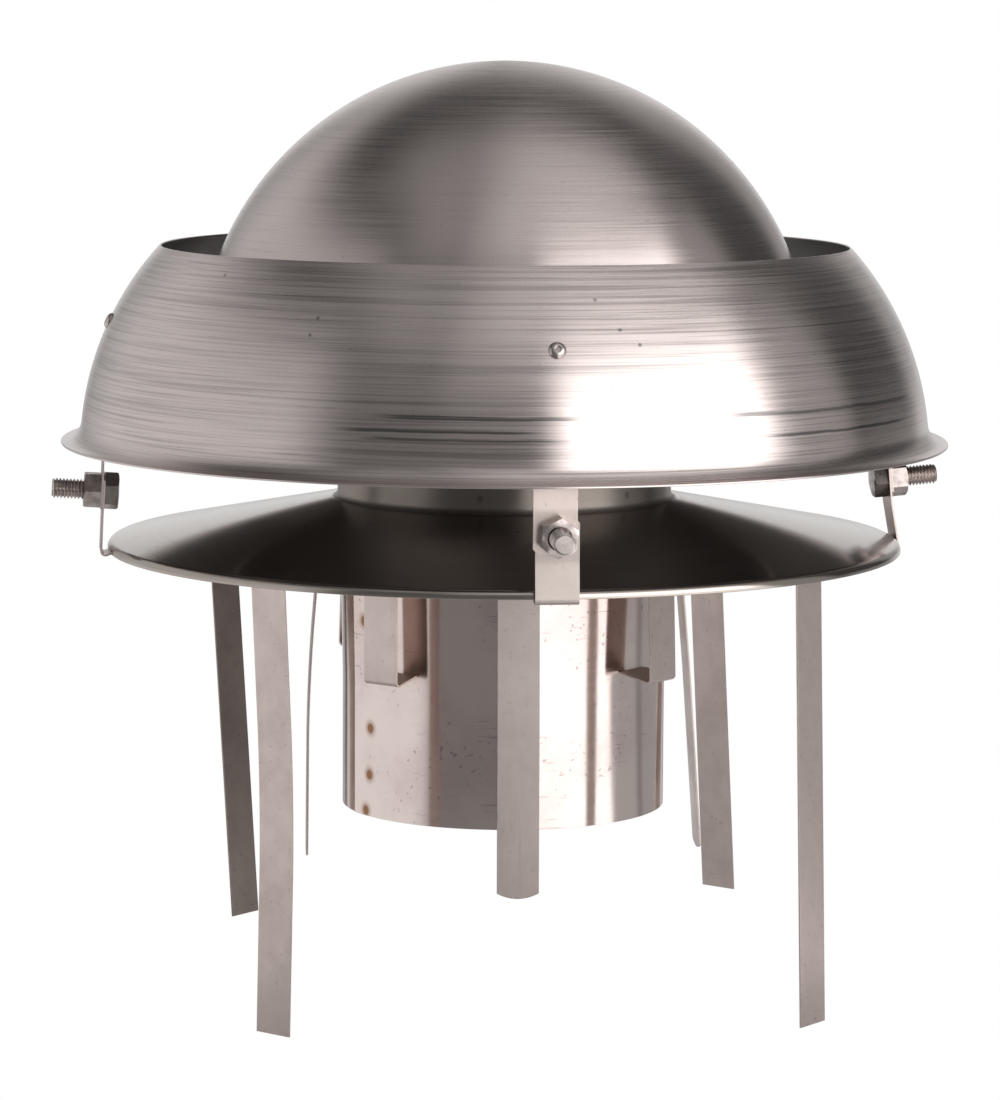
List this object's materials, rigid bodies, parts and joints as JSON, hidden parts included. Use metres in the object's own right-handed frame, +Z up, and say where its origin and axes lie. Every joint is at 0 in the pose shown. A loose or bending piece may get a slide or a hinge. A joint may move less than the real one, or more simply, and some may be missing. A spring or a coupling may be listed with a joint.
{
  "type": "chimney cowl",
  "caption": "Stainless steel chimney cowl: a dome in a spun hood ring on bolted strip brackets above a shallow skirt, with a round spigot and hanging fixing straps.",
  "frame": {"origin": "on the vertical axis, at the level of the longest long strap's foot", "axes": "+Z up along the spigot's and the dome's common axis, -Y towards the front clamp bracket, +X towards the right one"},
  "size_m": [0.4139, 0.4185, 0.4258],
  "materials": {
    "spun_steel": "spun and brushed stainless steel with fine turning lines round the axis",
    "spigot_steel": "bright rolled stainless steel with brown heat marks at its spot welds",
    "strip_steel": "satin stainless steel strip, warm grey",
    "fastener_steel": "machined and rolled stainless steel",
    "rivet_steel": "dull grey blind rivet"
  },
  "bodies": {
    "root": {"dome": "spun_steel", "hood_ring": "spun_steel", "skirt": "spun_steel", "spigot": "spigot_steel", "hood_bracket_front": "strip_steel", "hood_bracket_right": "strip_steel", "hood_bracket_back": "strip_steel", "hood_bracket_left": "strip_steel", "skirt_bracket_front": "strip_steel", "skirt_bracket_right": "strip_steel", "skirt_bracket_back": "strip_steel", "skirt_bracket_left": "strip_steel", "standoff_front_left": "strip_steel", "standoff_front_right": "strip_steel", "standoff_back_right": "strip_steel", "standoff_back_left": "strip_steel", "short_strap_front": "strip_steel", "short_strap_right": "strip_steel", "short_strap_back": "strip_steel", "short_strap_left": "strip_steel", "long_strap_front_left": "strip_steel", "long_strap_front_right": "strip_steel", "long_strap_back_right": "strip_steel", "long_strap_back_left": "strip_steel", "clamp_bolt_front": "fastener_steel", "clamp_bolt_right": "fastener_steel", "clamp_bolt_back": "fastener_steel", "clamp_bolt_left": "fastener_steel", "clamp_nut_front": "fastener_steel", "clamp_nut_right": "fastener_steel", "clamp_nut_back": "fastener_steel", "clamp_nut_left": "fastener_steel", "ring_rivet_front": "rivet_steel", "ring_rivet_right": "rivet_steel", "ring_rivet_back": "rivet_steel", "ring_rivet_left": "rivet_steel"}
  },
  "joints": []
}
